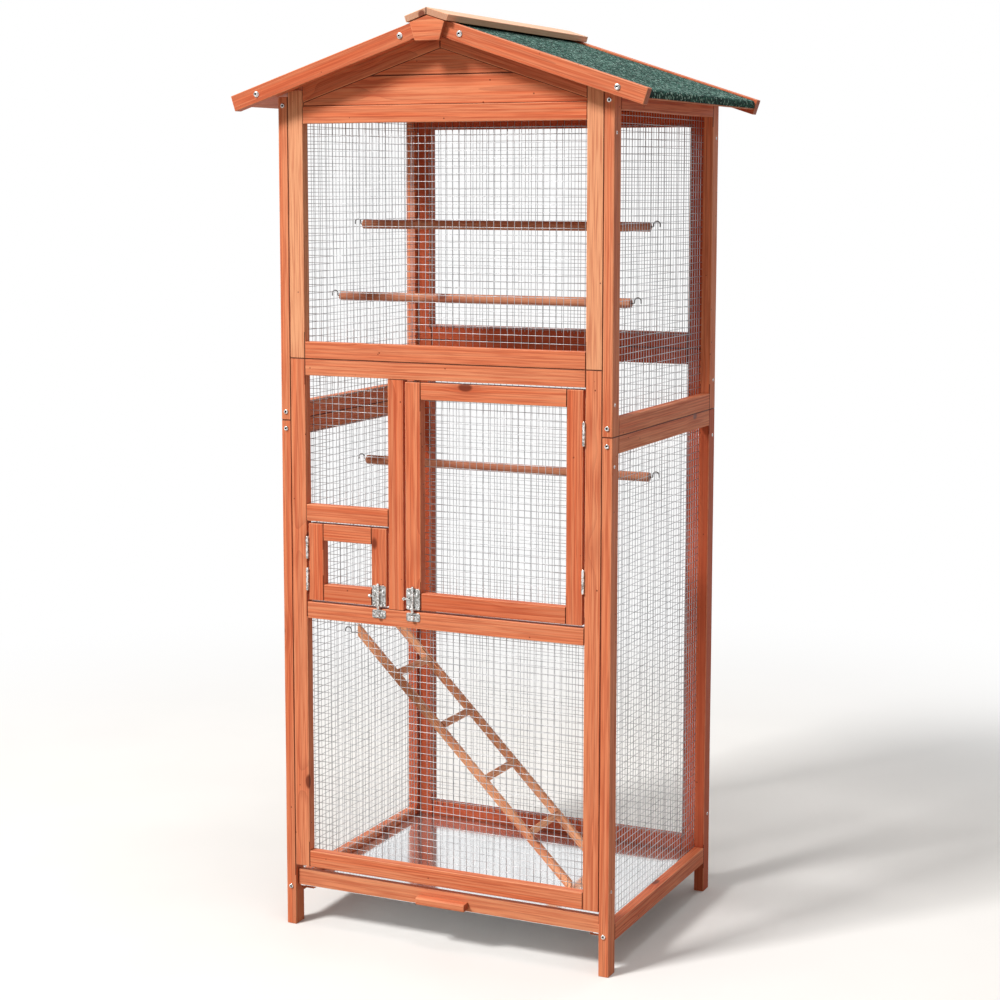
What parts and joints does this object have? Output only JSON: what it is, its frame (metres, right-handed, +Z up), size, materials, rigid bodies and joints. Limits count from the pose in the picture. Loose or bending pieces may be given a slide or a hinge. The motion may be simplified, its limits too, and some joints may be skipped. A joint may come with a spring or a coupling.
{
  "type": "wooden macaw cage",
  "caption": "Tall framed wooden aviary with mesh panels, side-hung doors, gable roof, pull-out tray, ladder and perches, free-standing on its legs.",
  "frame": {"origin": "on the floor, under the middle of the object's overall box", "axes": "+Z up, +X to the right along the front, -Y out of the front with the doors and the drawer"},
  "size_m": [0.784, 0.608, 1.6494],
  "materials": {
    "stained_fir": "orange-red stain on fir, satin",
    "perch_dowel": "stained dowel, satin",
    "ridge_board": "paler stain, satin",
    "green_felt": "mineral roofing felt",
    "galvanised_wire": "galvanised welded mesh",
    "zinc_hardware": "zinc plated",
    "hook_wire": "dull steel wire",
    "tray_sheet": "glossy white"
  },
  "bodies": {
    "case": {"back_lower_net": "galvanised_wire", "back_rails": "stained_fir", "back_stiles": "stained_fir", "back_upper_net": "galvanised_wire", "barge_boards": "stained_fir", "barge_bolts": "zinc_hardware", "door_divider_post": "stained_fir", "fixed_window_net": "galvanised_wire", "fixed_window_rail": "stained_fir", "frame_bolts": "zinc_hardware", "frame_hinge_leaves": "zinc_hardware", "front_lower_net": "galvanised_wire", "front_lower_rails": "stained_fir", "front_lower_stiles": "stained_fir", "front_upper_net": "galvanised_wire", "front_upper_rails": "stained_fir", "front_upper_stiles": "stained_fir", "gable_planks": "stained_fir", "gable_rafters": "stained_fir", "hinge_pins": "zinc_hardware", "latch_keepers": "zinc_hardware", "left_felt": "green_felt", "left_lower_net": "galvanised_wire", "left_roof_board": "stained_fir", "left_upper_net": "galvanised_wire", "lower_side_rails": "stained_fir", "ridge_cap_boards": "ridge_board", "ridge_end_blocks": "stained_fir", "right_felt": "green_felt", "right_lower_net": "galvanised_wire", "right_roof_board": "stained_fir", "right_upper_net": "galvanised_wire", "side_legs": "stained_fir", "tray_runners": "stained_fir", "upper_side_rails": "stained_fir", "upper_side_stiles": "stained_fir"},
    "big_door": {"big_door_stiles": "stained_fir", "big_door_rails": "stained_fir", "big_door_net": "galvanised_wire", "big_door_hinge_leaves": "zinc_hardware", "big_door_latch_plate": "zinc_hardware"},
    "small_door": {"small_door_stiles": "stained_fir", "small_door_rails": "stained_fir", "small_door_net": "galvanised_wire", "small_door_hinge_leaves": "zinc_hardware", "small_door_latch_plate": "zinc_hardware"},
    "big_bolt": {"big_door_bolt": "zinc_hardware"},
    "small_bolt": {"small_door_bolt": "zinc_hardware"},
    "drawer": {"tray_sheet": "tray_sheet", "tray_front_board": "stained_fir", "tray_handle": "stained_fir"},
    "ladder": {"ladder_rails": "stained_fir", "ladder_rungs": "stained_fir", "ladder_hooks": "hook_wire"},
    "top_perch": {"top_perch": "perch_dowel", "top_perch_hooks": "hook_wire"},
    "middle_perch": {"middle_perch": "perch_dowel", "middle_perch_hooks": "hook_wire"},
    "lower_perch": {"lower_perch": "perch_dowel", "lower_perch_hooks": "hook_wire"}
  },
  "joints": [
    {"name": "big_door_swing", "type": "hinge", "parent": "case", "child": "big_door", "pos_m": [0.268, -0.254, 0.813], "axis": [0, 0, 1], "range_deg": [0, 170]},
    {"name": "small_door_swing", "type": "hinge", "parent": "case", "child": "small_door", "pos_m": [-0.268, -0.254, 0.682], "axis": [0, 0, -1], "range_deg": [0, 165]},
    {"name": "big_bolt_slide", "type": "slide", "parent": "big_door", "child": "big_bolt", "axis": [0, 0, -1], "range_m": [0, 0.012]},
    {"name": "small_bolt_slide", "type": "slide", "parent": "small_door", "child": "small_bolt", "axis": [0, 0, -1], "range_m": [0, 0.012]},
    {"name": "drawer_slide", "type": "slide", "parent": "case", "child": "drawer", "axis": [0, -1, 0], "range_m": [0, 0.45]},
    {"name": "ladder_lift", "type": "slide", "parent": "case", "child": "ladder", "axis": [0, 0, 1], "range_m": [0, 0.008]},
    {"name": "top_perch_lift", "type": "slide", "parent": "case", "child": "top_perch", "axis": [0, 0, 1], "range_m": [0, 0.008]},
    {"name": "middle_perch_lift", "type": "slide", "parent": "case", "child": "middle_perch", "axis": [0, 0, 1], "range_m": [0, 0.008]},
    {"name": "lower_perch_lift", "type": "slide", "parent": "case", "child": "lower_perch", "axis": [0, 0, 1], "range_m": [0, 0.008]}
  ]
}
